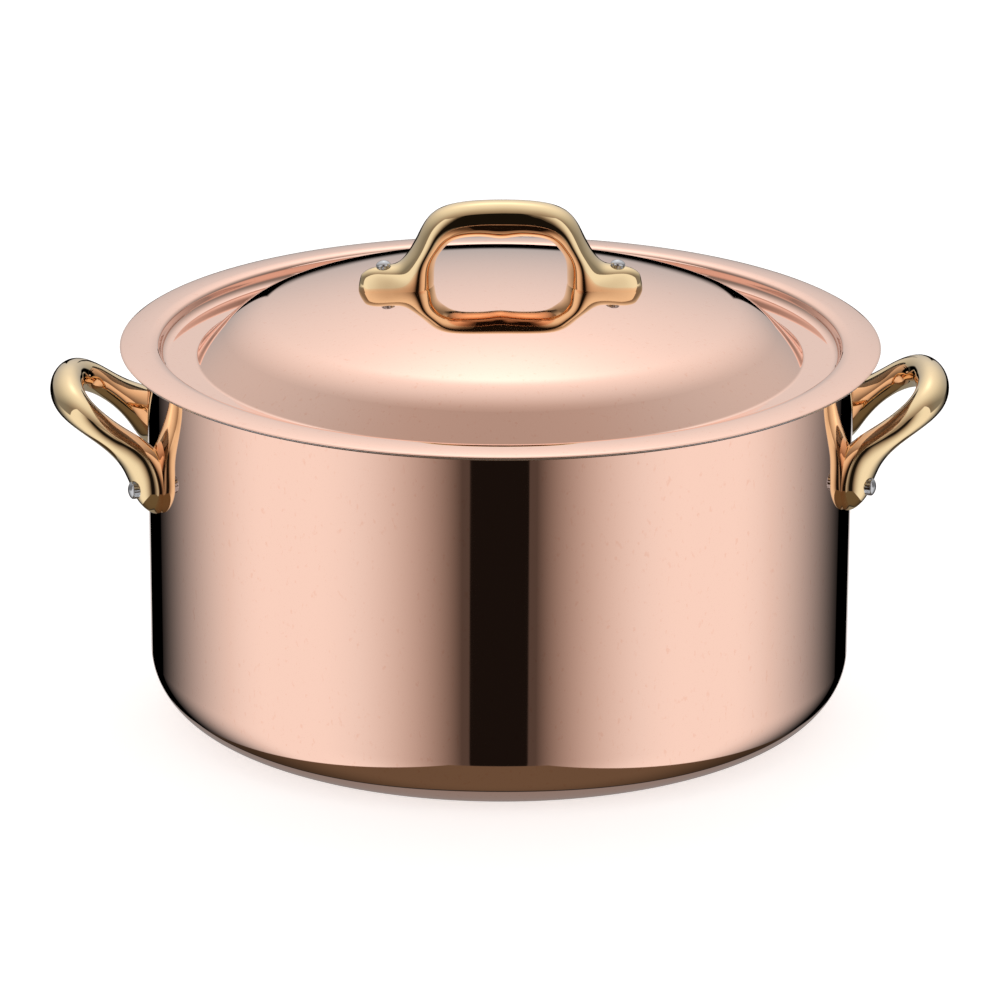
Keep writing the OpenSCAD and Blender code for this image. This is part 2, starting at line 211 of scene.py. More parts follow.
# %% [markdown]
# A tree works on an object through a modifier. A modifier's input is set by its socket's
# identifier, before the object is first evaluated. The evaluated result is then copied to a plain
# mesh, so that what is left is a mesh with no modifier. Faces are turned outwards at the end.

# %% Objects from points and from trees
def plain_object(name, mesh):
    obj = bpy.data.objects.new(name, mesh)
    bpy.context.scene.collection.objects.link(obj)
    return obj


def point_object(name, points):
    mesh = bpy.data.meshes.new(name)
    mesh.from_pydata([tuple(p) for p in points], [], [])
    return plain_object(name, mesh)


def face_outwards(mesh):
    """Recalculates the normals of a closed mesh, and returns its volume in cubic centimetres."""
    shape = bmesh.new()
    shape.from_mesh(mesh)
    bmesh.ops.recalc_face_normals(shape, faces=shape.faces)
    if shape.calc_volume(signed=True) < 0:
        bmesh.ops.reverse_faces(shape, faces=shape.faces)
    volume = shape.calc_volume()
    shape.to_mesh(mesh)
    shape.free()
    return volume / (10 * MM) ** 3


def made_plain(obj, name):
    """The object with its modifiers worked out, as a new plain mesh. The first one is removed."""
    bpy.context.view_layer.update()
    graph = bpy.context.evaluated_depsgraph_get()
    mesh = bpy.data.meshes.new_from_object(obj.evaluated_get(graph))
    mesh.name = name
    bpy.data.objects.remove(obj)
    return plain_object(name, mesh)


def run_tree(obj, tree, name, **values):
    """Runs a geometry tree on an object, with its named inputs."""
    modifier = obj.modifiers.new("tree", "NODES")
    modifier.node_group = tree
    for item in tree.interface.items_tree:
        label = item.name.replace(" ", "_").lower()
        if item.in_out == "INPUT" and label in values:
            modifier[item.identifier] = values[label]
    return made_plain(obj, name)


SEGMENTS = 256


def turn(name, outline, material, segments=SEGMENTS):
    """Turns an outline of radius and height about the Z axis into a closed piece."""
    points = [(r, 0, z) for r, z in outline]
    piece = run_tree(point_object(name + "_outline", points), LATHE, name,
                     segments=segments, material=material)
    volume = face_outwards(piece.data)
    print(f"{name}: {len(piece.data.polygons)} faces, {volume:.2f} cubic centimetres")
    return piece


print("pieces are turned in", SEGMENTS, "steps")

# %% [markdown]
# ## Finishes
#
# All four finishes are bare metal, and a metal's colour is the colour of its reflection. So each
# is a metallic Principled shader with the metal's own reflectance as its base colour, and the
# rest of the look is in the roughness: how long a blur the polish leaves. Colours are written as
# sRGB hex and turned to linear by one function.

# %% Colours and a starting shader
def linear(hex_color):
    """An sRGB hex colour as linear red, green, blue and alpha."""
    parts = [int(hex_color[i:i + 2], 16) / 255 for i in (1, 3, 5)]
    return [c / 12.92 if c <= 0.04045 else ((c + 0.055) / 1.055) ** 2.4 for c in parts] + [1]


def new_metal(name, color, roughness):
    """A metallic material. Returns it with its tree and its shader node."""
    material = bpy.data.materials.new(name)
    material.use_nodes = True
    tree = material.node_tree
    shader = tree.nodes["Principled BSDF"]
    shader.inputs["Metallic"].default_value = 1.0
    shader.inputs["Base Color"].default_value = linear(color)
    shader.inputs["Roughness"].default_value = roughness
    return material, tree, shader


def object_pattern(tree, stretch):
    """Object coordinates, stretched along each axis, for a pattern that keeps its real size."""
    place = add_node(tree, "ShaderNodeTexCoord")
    return add_node(tree, "ShaderNodeMapping", {
        "Vector": place.outputs["Object"], "Scale": stretch}).outputs[0]


print("mid grey is", round(linear("#808080")[0], 3), "as a linear value")

# %% [markdown]
# ### Polished copper
#
# Copper sheet that was drawn to shape and then buffed to a mirror. The buffing wheel leaves very
# fine upright lines on the wall, which only show as faint streaks in a reflection, and the metal
# has darker and redder grains here and there. Two noises do this: one stretched upright for the
# lines, one fine and sparse for the grains. The lines move the roughness between two low values,
# and only the peaks of the grains' noise are let through to the colour. Real buffing lines are far
# finer than these, and are drawn as coarse as they need to be to show.

# %% Polished copper
LINE_W, LINE_STRETCH = 0.9 * MM, 0.02
GRAIN_W, GRAIN_STRETCH = 1.6 * MM, 0.6
GRAIN_FROM, GRAIN_FULL, GRAIN_STRENGTH = 0.62, 0.74, 0.25
MIRROR, BUFFED = 0.02, 0.045
COPPER_COLOR, GRAIN_COLOR = "#FAD2C0", "#E8A488"


def copper_material():
    material, tree, shader = new_metal("polished copper sheet", COPPER_COLOR, BUFFED)
    lines = add_node(tree, "ShaderNodeTexNoise", {
        "Vector": object_pattern(tree, (1, 1, LINE_STRETCH)), "Scale": 1 / LINE_W, "Detail": 2.0})
    grains = add_node(tree, "ShaderNodeTexNoise", {
        "Vector": object_pattern(tree, (1, 1, GRAIN_STRETCH)), "Scale": 1 / GRAIN_W, "Detail": 3.0})
    seen = add_node(tree, "ShaderNodeMapRange", {
        "Value": grains.outputs["Fac"], "From Min": GRAIN_FROM, "From Max": GRAIN_FULL,
        "To Max": GRAIN_STRENGTH})
    color = add_node(tree, "ShaderNodeMix", {
        "Factor": seen.outputs[0], "A": linear(COPPER_COLOR), "B": linear(GRAIN_COLOR)},
        data_type="RGBA")
    tree.links.new(color.outputs["Result"], shader.inputs["Base Color"])
    rough = add_node(tree, "ShaderNodeMapRange", {
        "Value": lines.outputs["Fac"], "From Min": 0.3, "From Max": 0.7,
        "To Min": MIRROR, "To Max": BUFFED})
    tree.links.new(rough.outputs[0], shader.inputs["Roughness"])
    return material


COPPER = copper_material()
print("made", COPPER.name)

# %% [markdown]
# ### Satin stainless steel
#
# The lining is stainless sheet that was brushed while the pot turned, so its lines run round the
# axis on the wall and on the base alike. Height plus distance from the axis grows steadily along
# both, so a noise of that one number draws rings on both, without a break at the corner. The noise
# moves the roughness and gives a shallow bump, as real brush lines do.

# %% Brushed lining and rivet steel
BRUSH_W = 0.5 * MM


def lining_material():
    material, tree, shader = new_metal("brushed stainless steel", "#DCDCDE", 0.28)
    place = add_node(tree, "ShaderNodeTexCoord")
    parts = add_node(tree, "ShaderNodeSeparateXYZ", {0: place.outputs["Object"]})
    flat = add_node(tree, "ShaderNodeCombineXYZ", {
        "X": parts.outputs["X"], "Y": parts.outputs["Y"]})
    away = add_node(tree, "ShaderNodeVectorMath", {0: flat.outputs[0]}, operation="LENGTH")
    along = add_node(tree, "ShaderNodeMath", {
        0: away.outputs["Value"], 1: parts.outputs["Z"]})
    brushed = add_node(tree, "ShaderNodeTexNoise", {
        "W": along.outputs[0], "Scale": 1 / BRUSH_W, "Detail": 3.0}, noise_dimensions="1D")
    rough = add_node(tree, "ShaderNodeMapRange", {
        "Value": brushed.outputs["Fac"], "From Min": 0.3, "From Max": 0.7,
        "To Min": 0.2, "To Max": 0.36})
    tree.links.new(rough.outputs[0], shader.inputs["Roughness"])
    bump = add_node(tree, "ShaderNodeBump", {
        "Height": brushed.outputs["Fac"], "Strength": 0.15, "Distance": 0.02 * MM})
    tree.links.new(bump.outputs[0], shader.inputs["Normal"])
    return material


def rivet_material():
    """Stainless wire, headed cold: its end keeps the matt grey skin of the die."""
    material, tree, shader = new_metal("cold headed stainless rivet", "#C9CBCF", 0.16)
    skin = add_node(tree, "ShaderNodeTexNoise", {
        "Vector": object_pattern(tree, (1, 1, 1)), "Scale": 1 / BRUSH_W, "Detail": 2.0})
    rough = add_node(tree, "ShaderNodeMapRange", {
        "Value": skin.outputs["Fac"], "To Min": 0.1, "To Max": 0.22})
    tree.links.new(rough.outputs[0], shader.inputs["Roughness"])
    return material


STEEL = lining_material()
RIVET_STEEL = rivet_material()
print("made", STEEL.name, "and", RIVET_STEEL.name)

# %% [markdown]
# ### Polished brass
#
# The handles are brass castings, ground and buffed by hand. A hand-buffed casting is never quite
# even: its surface swells and dips by a few hundredths of a millimetre over a centimetre, and
# that is what makes its reflections swim. A broad, shallow bump does it.

# %% Polished cast brass
SWELL_W = 9 * MM


def brass_material():
    material, tree, shader = new_metal("polished cast brass", "#F4DAAC", 0.03)
    swell = add_node(tree, "ShaderNodeTexNoise", {
        "Vector": object_pattern(tree, (1, 1, 1)), "Scale": 1 / SWELL_W, "Detail": 1.0})
    bump = add_node(tree, "ShaderNodeBump", {
        "Height": swell.outputs["Fac"], "Strength": 0.5, "Distance": 0.25 * MM})
    tree.links.new(bump.outputs[0], shader.inputs["Normal"])
    return material


BRASS = brass_material()
print("made", BRASS.name)

# %% [markdown]
# ## The pot
#
# The pot is one piece of copper outside and one piece of stainless steel inside, bonded before
# they were drawn. Both follow the same line at different depths, so they are two outlines from
# one function. The rim shows both edges, each with its corners taken off by a fraction of a
# millimetre, which gives the rim its fine bright line.

# %% The pot's two sheets
def pot_line(depth):
    """The pot's section at a depth below its outer skin, from the middle of the base to the rim."""
    flat_r = pot_r - pot_corner_r
    corner = arc((flat_r, pot_corner_r), pot_corner_r - depth, -90, 0)
    rim = (pot_r - depth, pot_h)
    return [(0, depth), *straight((0, depth), corner[0]), *corner, *straight(corner[-1], rim), rim]


def pot_sheet(name, top, bottom, material):
    outer, inner = pot_line(top), pot_line(bottom)
    edge = [*soft_corner(outer[-2], outer[-1], inner[-1]),
            *soft_corner(outer[-1], inner[-1], inner[-2])]
    return turn(name, [*outer[:-1], *edge, *inner[-2::-1]], material)


pot_shell = pot_sheet("copper_pot_shell", 0, pot_copper_t, COPPER)
pot_lining = pot_sheet("stainless_pot_lining", pot_copper_t, pot_wall_t, STEEL)
print("pot rim:", round(1000 * pot_h, 2), "mm above the base")

# %% [markdown]
# ## The lid
#
# The lid is spun from one bonded sheet: a slightly arched brim with a rolled edge, a tight bend, a
# steep step down into the pot, a ring channel with a level floor, and a dome. A kink in the outline
# would break every reflection, so arcs that touch each other make it. Two arcs touch where their
# centres lie on one line with the point between them, so each centre is found from the one before:
# outwards from the brim's crest to the edge, and inwards to the bend at the top of the step.

# %% The brim, the bend and the step
def on_arc(centre, radius, angle):
    a = math.radians(angle)
    return Vector((centre[0] + radius * math.cos(a), centre[1] + radius * math.sin(a)))


def sine(angle):
    return math.sin(math.radians(angle))


crest_z = flange_z + crest_h
brim_reach = flange_r - crest_r - edge_roll_r * (sine(edge_end_slope) - sine(edge_slope))
brim_r = brim_reach / sine(edge_slope)
brim_centre = Vector((crest_r, crest_z - brim_r))
edge_centre = on_arc(brim_centre, brim_r - edge_roll_r, 90 - edge_slope)

lip_centre = Vector((crest_r, crest_z - lip_r))
bend_top_r = bend_r + lid_t
bend_centre = on_arc(lip_centre, lip_r - bend_top_r, 90 + lip_slope)
step_top = on_arc(bend_centre, bend_top_r, 90 + step_angle)
step_foot = channel_z + channel_r * (1 - math.cos(math.radians(step_angle)))
step_run = (step_top.y - step_foot) / math.tan(math.radians(step_angle))
corner_x = step_top.x - step_run - channel_r * sine(step_angle)
print(f"the step starts {1000 * step_top.x:.1f} mm from the axis and leaves a channel floor"
      f" {1000 * (corner_x - dome_foot_r):.1f} mm wide")

# %% [markdown]
# The dome rises from the channel's floor in a tight fold and a short straight wall, and turns over
# its shoulder into a wide, shallow crown. The shoulder's arc touches that wall and the crown. So
# its centre moves up beside the wall until it is as far from the crown's centre as the difference
# between the two radii.

# %% The dome's arcs
low_angle = 90 - dome_wall_angle
crown_centre = Vector((0, apex_z - dome_crown_r))
fold_centre = Vector((dome_foot_r, channel_z + dome_fold_r))


def shoulder_place():
    """The centre of the shoulder's arc, which touches the dome's straight wall and the crown."""
    wall_out = on_arc((0, 0), 1, low_angle)
    wall_up = Vector((-wall_out.y, wall_out.x))
    start = fold_centre - (dome_fold_r + dome_shoulder_r) * wall_out - crown_centre
    along = start.dot(wall_up)
    reach = dome_crown_r - dome_shoulder_r
    rise = math.sqrt(along ** 2 - start.length_squared + reach ** 2) - along
    return crown_centre + start + rise * wall_up


shoulder_centre = shoulder_place()
from_crown = shoulder_centre - crown_centre
high_angle = math.degrees(math.atan2(from_crown.y, from_crown.x))
print(f"dome shoulder turns from {low_angle:.1f} to {high_angle:.1f} degrees")

# %% [markdown]
# The copper and the lining follow the same line at different depths, as the pot's two sheets do, so
# one function gives the line at any depth. Arcs that bulge upwards get smaller with depth, and the
# two that are hollow from above, the channel's corner and the dome's fold, get larger.

# %% The lid's two sheets
def dome_line(depth):
    """The dome's section at a depth below its top skin, from the channel's floor to the apex."""
    fold = arc(fold_centre, dome_fold_r + depth, 270, 180 + low_angle, 2 * BEND_STEP)
    shoulder = arc(shoulder_centre, dome_shoulder_r - depth, low_angle, high_angle)
    crown = arc(crown_centre, dome_crown_r - depth, high_angle, 90, CROWN_STEP)
    return [*fold, *straight(fold[-1], shoulder[0], 2), *shoulder, *crown[1:-1], (0, crown[-1][1])]


def lid_line(depth):
    """The lid's section at a depth below its top skin, from the flange's edge to the apex."""
    edge = arc(edge_centre, edge_roll_r - depth, 90 - edge_end_slope, 90 - edge_slope)
    brim = arc(brim_centre, brim_r - depth, 90 - edge_slope, 90)
    lip = arc(lip_centre, lip_r - depth, 90, 90 + lip_slope)
    bend = arc(bend_centre, bend_top_r - depth, 90 + lip_slope, 90 + step_angle)
    corner = arc((corner_x, channel_z + channel_r), channel_r + depth, step_angle - 90, -90)
    dome = dome_line(depth)
    return [*edge, *brim[1:], *lip[1:], *bend[1:], *straight(bend[-1], corner[0], 1),
            *corner, *straight(corner[-1], dome[0]), *dome]


def lid_sheet(name, top, bottom, material):
    outer, inner = lid_line(top), lid_line(bottom)
    edge = [*soft_corner(outer[1], outer[0], inner[0]),
            *soft_corner(outer[0], inner[0], inner[1])]
    return turn(name, [*outer[:0:-1], *edge, *inner[1:]], material)


lid_cover = lid_sheet("copper_lid_cover", 0, lid_copper_t, COPPER)
lid_lining = lid_sheet("stainless_lid_lining", lid_copper_t, lid_t, STEEL)
print("lid apex:", round(1000 * apex_z, 2), "mm above the base")

# %% [markdown]
# ## The cast handles
#
# Each handle is one casting whose round section runs along a loop, flattens and spreads into a foot
# at each end, and was ground to the curve of the metal under it. So it is made as it is shaped: a
# smooth route with a control point for each change of direction, an ellipse carried along it
# whose two widths follow the same kind of curve, and a cut by the surface that the foot sits on.
# Half of each table is written, from the end of a foot to the middle of the grip, as shares of
# the real sizes, and the other half mirrors it.

# %% Smooth curves through a control table
def whole(half, mirror):
    """A control table's full length, with one more point at each end."""
    half, mirror = np.array(half, float), np.array(mirror, float)
    body = np.vstack([half, half[-2::-1] * mirror])
    start, end = 2 * body[0] - body[1], 2 * body[-1] - body[-2]
    return np.vstack([start, body, end])


def spline(table, t):
    """Value of the uniform cubic B-spline at place t."""
    i = min(int(t), len(table) - 4)
    f, g = t - i, 1 - (t - i)
    weights = [g ** 3, 3 * f ** 3 - 6 * f ** 2 + 4, 3 * g ** 3 - 6 * g ** 2 + 4, f ** 3]
    return np.dot(weights, table[i:i + 4]) / 6


def spline_way(table, t):
    """Direction of the same curve at place t."""
    i = min(int(t), len(table) - 4)
    f, g = t - i, 1 - (t - i)
    weights = [-g ** 2, 3 * f ** 2 - 4 * f, -3 * f ** 2 + 2 * f + 1, f ** 2]
    way = np.dot(weights, table[i:i + 4])
    return way / np.linalg.norm(way)


HALF = 6
END_ROUND = 0.9
RINGS_EACH = 12
SECTION_SIDES = 64


def fullness(t, over):
    """Nothing at the very end of a foot, and whole past its rounding."""
    s = min(t, 2 * HALF - t)
    return math.sqrt(1 - (1 - min(s / over, 1)) ** 2)


def smooth_step(x):
    c = min(max(x, 0), 1)
    return c * c * (3 - 2 * c)


def ring_places():
    """Places of the rings: closer together towards the rounded ends of the feet."""
    ends = [(i / (2 * RINGS_EACH)) ** 2 for i in range(2 * RINGS_EACH)]
    middle = [i / RINGS_EACH for i in range(RINGS_EACH, RINGS_EACH * (2 * HALF - 1) + 1)]
    return [*ends, *middle, *[2 * HALF - e for e in reversed(ends)]]


print("handles have", len(ring_places()), "rings of", SECTION_SIDES, "sides")

# %% [markdown]
# A ring is an ellipse set square to the route. Its half sizes shrink to nothing at the two ends,
# so the first and last ring close to a point. A low ridge inside the grip, where a finger goes, is
# added by pulling the far side of the ring out in the middle of the loop.

# %% Sweeping a section along a route
def ring(centre, across, beside, sizes, ridges):
    points = []
    for k in range(SECTION_SIDES):
        c, s = math.cos(math.tau * k / SECTION_SIDES), math.sin(math.tau * k / SECTION_SIDES)
        points.append(centre + (sizes[0] * c - ridges[0] * max(-c, 0)) * across
                      + (sizes[1] * s - ridges[1] * max(-s, 0)) * beside)
    return points


def swept(name, rings):
    """A closed mesh through a stack of rings. The first and last rings are single points."""
    points = [rings[0][0], *[p for r in rings[1:-1] for p in r], rings[-1][0]]
    last, n = len(points) - 1, SECTION_SIDES

    def at(i, k):
        return 1 + (i - 1) * n + k % n

    faces = [(0, at(1, k + 1), at(1, k)) for k in range(n)]
    for i in range(1, len(rings) - 2):
        faces += [(at(i, k), at(i, k + 1), at(i + 1, k + 1), at(i + 1, k)) for k in range(n)]
    faces += [(last, at(len(rings) - 2, k), at(len(rings) - 2, k + 1)) for k in range(n)]
    mesh = bpy.data.meshes.new(name)
    mesh.from_pydata([tuple(p) for p in points], [], faces)
    face_outwards(mesh)
    return plain_object(name, mesh)


SEAM_ANGLE = math.radians(32)


def cut_to_seat(casting, seat, name, material):
    """Takes away what lies inside the seat, and keeps the seam between foot and seat crisp."""
    cut = casting.modifiers.new("seat", "BOOLEAN")
    cut.operation, cut.solver, cut.object = "DIFFERENCE", "EXACT", seat
    piece = made_plain(casting, name)
    bpy.data.objects.remove(seat)
    piece.data.materials.clear()
    piece.data.materials.append(material)
    piece.data.polygons.foreach_set("material_index", [0] * len(piece.data.polygons))
    piece.data.polygons.foreach_set("use_smooth", [True] * len(piece.data.polygons))
    piece.data.set_sharp_from_angle(angle=SEAM_ANGLE)
    print(f"{name}: {len(piece.data.polygons)} faces")
    return piece


print("seams sharper than", round(math.degrees(SEAM_ANGLE)), "degrees stay crisp")

# %% [markdown]
# ### The side handles
#
# The loop stands out from the wall and rises, so its route is written in the wall's own terms:
# how far out, how far round and how far up. At the feet the section is turned to follow the
# wall, and along the grip it follows the loop's own tilted plane.

# %% The side handles
side_reach, side_span = 28.1 * MM, 71.6 * MM
side_foot_z, side_rise = 78.3 * MM, 35.4 * MM
side_grip_t, side_grip_w = 12.5 * MM, 10.4 * MM
side_foot_t, side_foot_w = 14.3 * MM, 20 * MM
side_ridge_h, side_ridge_w = 0.8 * MM, side_span / 12

side_out_share = [0.043, 0.043, 0.135, 0.457, 0.762, 0.957, 1.021]
side_round_share = [1, 0.969, 0.765, 0.665, 0.592, 0.405, 0]
side_up_share = [0, 0.209, 0.468, 0.671, 0.847, 0.961, 1.02]
side_foot_t_share = [0.7, 0.97, 1, 0.594]
side_grip_t_share = [0.776, 0.92, 1.04]
side_foot_w_share = [0.2, 0.8, 1, 0.8]
side_grip_w_share = [1.269, 1.077, 0.962]
TURN_FROM, TURN_OVER = 1.2, 2.6


def on_wall(out, round_wall, height):
    a = round_wall / pot_r
    return [(pot_r + out) * math.cos(a), (pot_r + out) * math.sin(a), height]


def half_sizes(foot, foot_share, grip, grip_share):
    return [foot * s / 2 for s in foot_share] + [grip * s / 2 for s in grip_share]


side_half = [on_wall(side_reach * o, side_span / 2 * r, side_foot_z + side_rise * u)
             for o, r, u in zip(side_out_share, side_round_share, side_up_share)]
side_route = whole(side_half, (1, -1, 1))
side_half_t = half_sizes(side_foot_t, side_foot_t_share, side_grip_t, side_grip_t_share)
side_half_w = half_sizes(side_foot_w, side_foot_w_share, side_grip_w, side_grip_w_share)
side_sizes = whole(list(zip(side_half_t, side_half_w)), (1, 1))


def side_rings():
    lean = np.subtract(side_half[HALF], side_half[HALF - 3])
    square = np.array([lean[2], 0, -lean[0]]) / math.hypot(lean[0], lean[2])
    rings = []
    for t in ring_places():
        centre = spline(side_route, t)
        out = np.array([centre[0], centre[1], 0]) / math.hypot(centre[0], centre[1])
        turned = smooth_step((min(t, 2 * HALF - t) - TURN_FROM) / TURN_OVER)
        ridge = side_ridge_h * math.exp(-(centre[1] / side_ridge_w) ** 2)
        along = spline_way(side_route, t)
        toward = (1 - turned) * out + turned * square
        across = toward - np.dot(toward, along) * along
        across /= np.linalg.norm(across)
        rings.append(ring(centre, across, np.cross(along, across),
                          spline(side_sizes, t) * fullness(t, END_ROUND), (0, ridge)))
    return rings


def side_handle(name, half_turns):
    casting = swept(name + "_casting", side_rings())
    casting.data.transform(Matrix.Rotation(math.pi * half_turns, 4, "Z"))
    wall = turn(name + "_wall", [(0, 0), (pot_r, 0), (pot_r, pot_h), (0, pot_h)], BRASS)
    return cut_to_seat(casting, wall, name, BRASS)


right_handle = side_handle("right_loop_handle", 0)
left_handle = side_handle("left_loop_handle", 1)
print("side handles reach", round(1000 * max(v.co.x for v in right_handle.data.vertices), 2), "mm")

# %% [markdown]
# ### The lid's handle
#
# The arch lies in one upright plane, and its thickness changes quickly where a leg meets its foot.
# So it is drawn as a maker draws it, by its two edges: one rail along its top and one along its
# underside. Each ring spans the two. In a foot the lower rail runs under the dome's skin, where the
# casting is cut away: the dome's own outline, turned, is the shape that cuts it.

# %% The arch handle
arch_span, arch_h = 97.2 * MM, 28.8 * MM
arch_gap_w, arch_gap_h = 46.8 * MM, 16.1 * MM
arch_foot_w, arch_grip_w = 20 * MM, 15.3 * MM
arch_ridge_h, arch_ridge_w = 0.9 * MM, arch_span / 17

top_out_share = [1, 0.932, 0.749, 0.682, 0.586, 0.484, 0]
top_up_share = [0.046, 0.176, 0.19, 0.257, 0.533, 0.957, 1.005]
under_out_share = [2.08, 1.79, 0.915, 1.014, 0.835, 0.674, 0]
under_up_share = [-0.416, -0.62, -0.68, 0.409, 0.761, 1.011, 1]
arch_foot_w_share = [0.25, 0.525, 0.89, 1]
arch_grip_w_share = [1.229, 1.059, 0.954]
ARCH_END_ROUND, ARCH_EDGE_ROUND = 0.6, 0.35


def rail(half_w, out_share, height, up_share):
    return whole([[half_w * o, apex_z + height * u] for o, u in zip(out_share, up_share)], (-1, 1))


arch_top = rail(arch_span / 2, top_out_share, arch_h, top_up_share)
arch_under = rail(arch_gap_w / 2, under_out_share, arch_gap_h, under_up_share)
arch_w_rows = half_sizes(arch_foot_w, arch_foot_w_share, arch_grip_w, arch_grip_w_share)
arch_half_w = whole([[w] for w in arch_w_rows], (1,))


def arch_rings():
    rings = []
    for t in ring_places():
        top, under = spline(arch_top, t), spline(arch_under, t)
        middle, reach = (top + under) / 2, (top - under) / 2
        half_t = np.linalg.norm(reach)
        ridge = arch_ridge_h * math.exp(-(middle[0] / arch_ridge_w) ** 2)
        rings.append(ring(np.array([middle[0], 0, middle[1]]),
                          np.array([reach[0], 0, reach[1]]) / half_t, np.array([0, 1, 0]),
                          (half_t * fullness(t, ARCH_EDGE_ROUND),
                           spline(arch_half_w, t)[0] * fullness(t, ARCH_END_ROUND)), (ridge, 0)))
    return rings


def arch_handle(name):
    floor = channel_z - lid_t
    dome = turn(name + "_dome", [(0, floor), (dome_foot_r, floor), *dome_line(0)], BRASS)
    return cut_to_seat(swept(name + "_casting", arch_rings()), dome, name, BRASS)


lid_arch = arch_handle("lid_arch_handle")
print("arch reaches", round(1000 * max(v.co.z for v in lid_arch.data.vertices), 2), "mm up")

# %% [markdown]
# ## The rivets
#
# A rivet is set from inside: its broad low head bears on the lining, the shank goes through both
# sheets and the foot, and its end is closed to a small dome outside. All six are alike in kind,
# so they are instances: one point for each rivet, one turned shape on each point, lined up with
# the direction stored on the point.

# %% The rivet's outline and the tree that sets the rivets
HEAD_H, RIM_T, DOME_H, SKIRT = 1.6 * MM, 0.4 * MM, 1.2 * MM, 0.3 * MM


def dome_arc(radius, height, base):
    """A low dome's arc, from its rim at the base height to its top on the axis."""
    dome_r = (radius ** 2 + height ** 2) / (2 * height)
    rim = math.degrees(math.acos(radius / dome_r))
    points = arc((0, base + height - dome_r), dome_r, rim, 90, 2 * BEND_STEP)
    return [*points[:-1], (0, base + height)]


def rivet_outline(shank_d, head_d, length):
    """From the middle of the head, round its rim, up the shank and over its closed end."""
    head = [(r, -z) for r, z in dome_arc(head_d / 2, HEAD_H - RIM_T, RIM_T)]
    rim, skirt = (head_d / 2, -RIM_T), (head_d / 2, SKIRT)
    shank = (shank_d / 2, SKIRT)
    shoulder = (shank_d / 2, length - DOME_H)
    end = dome_arc(shank_d / 2, DOME_H, length - DOME_H)
    return [*reversed(head[1:]), *soft_corner(head[1], rim, skirt, 2 * edge_r), skirt, shank,
            *straight(shank, shoulder, 2), *soft_corner(shank, shoulder, end[1], 2 * edge_r),
            *end[1:]]


def rivet_tree():
    tree, given = new_tree("Rivets", {
        "Outline": "NodeSocketObject", "Segments": "NodeSocketInt", "Material": "NodeSocketMaterial"})
    outline = add_node(tree, "GeometryNodeObjectInfo", {"Object": given["Outline"]})
    turned = add_node(tree, "GeometryNodeGroup", node_tree=LATHE)
    tree.links.new(outline.outputs["Geometry"], turned.inputs["Geometry"])
    tree.links.new(given["Segments"], turned.inputs["Segments"])
    tree.links.new(given["Material"], turned.inputs["Material"])
    axis = add_node(tree, "GeometryNodeInputNamedAttribute", {"Name": "axis"},
                    data_type="FLOAT_VECTOR")
    facing = add_node(tree, "FunctionNodeAlignRotationToVector", {
        "Vector": axis.outputs["Attribute"]}, axis="Z")
    placed = add_node(tree, "GeometryNodeInstanceOnPoints", {
        "Points": given["Geometry"], "Instance": turned.outputs["Geometry"],
        "Rotation": facing.outputs[0]})
    real = add_node(tree, "GeometryNodeRealizeInstances", {"Geometry": placed.outputs[0]})
    coloured = add_node(tree, "GeometryNodeSetMaterial", {
        "Geometry": real.outputs[0], "Material": given["Material"]})
    add_node(tree, "NodeGroupOutput", {"Geometry": coloured.outputs[0]})
    return tree


RIVETS = rivet_tree()
RIVET_SEGMENTS = 48


def rivets(name, places, outline):
    """One mesh of rivets. Each place is the point under the head and the rivet's direction."""
    holder = point_object(name + "_places", [p for p, _ in places])
    axis = holder.data.attributes.new("axis", "FLOAT_VECTOR", "POINT")
    axis.data.foreach_set("vector", [c for _, direction in places for c in direction])
    shape = point_object(name + "_outline", [(r, 0, z) for r, z in outline])
    piece = run_tree(holder, RIVETS, name, outline=shape, segments=RIVET_SEGMENTS,
                     material=RIVET_STEEL)
    bpy.data.objects.remove(shape)
    face_outwards(piece.data)
    print(f"{name}: {len(places)} rivets, {len(piece.data.polygons)} faces")
    return piece


print("rivet tree:", len(RIVETS.nodes), "nodes")

# %% [markdown]
# Each rivet's place follows from its handle: it goes through the casting at a chosen place on the
# route, and it is as long as the wall, the foot there and the end that stands out of it.

# %% The rivets of the pot and of the lid
POT_RIVET_PLACE, LID_RIVET_PLACE = 1.1, 1.6
POT_RIVET_D, POT_HEAD_D, POT_END_H, POT_OFFSET = 6 * MM, 14 * MM, 2.3 * MM, 1 * MM
LID_RIVET_D, LID_HEAD_D, LID_END_H = 5 * MM, 12 * MM, 2 * MM


def pot_rivets():
    point = spline(side_route, POT_RIVET_PLACE)
    away = math.hypot(point[0], point[1])
    angle = math.atan2(point[1], point[0]) + POT_OFFSET / pot_r
    foot = away - pot_r + spline(side_sizes, POT_RIVET_PLACE)[0]
    places = []
    for a in (angle, -angle, math.pi + angle, math.pi - angle):
        out = Vector((math.cos(a), math.sin(a), 0))
        places.append((out * pot_bore_r + Vector((0, 0, point[2])), out))
    return rivets("pot_rivet_set", places,
                  rivet_outline(POT_RIVET_D, POT_HEAD_D, pot_wall_t + foot + POT_END_H))


def lid_rivets():
    out = Vector(spline(arch_top, LID_RIVET_PLACE)) - crown_centre
    foot = out.length - dome_crown_r
    way, centre = out.normalized(), Vector((0, 0, crown_centre.y))
    places = []
    for side in (-1, 1):
        up = Vector((side * way.x, 0, way.y))
        places.append((centre + up * (dome_crown_r - lid_t), up))
    return rivets("lid_rivet_set", places,
                  rivet_outline(LID_RIVET_D, LID_HEAD_D, lid_t + foot + LID_END_H))


pot_rivet_set = pot_rivets()
lid_rivet_set = lid_rivets()

# %% [markdown]
# ## What rides on what
#
# Each piece is tied to the body that it belongs to, and says which pieces of the frame it stands
# for. The lid's pieces then rise together when the lid is lifted.

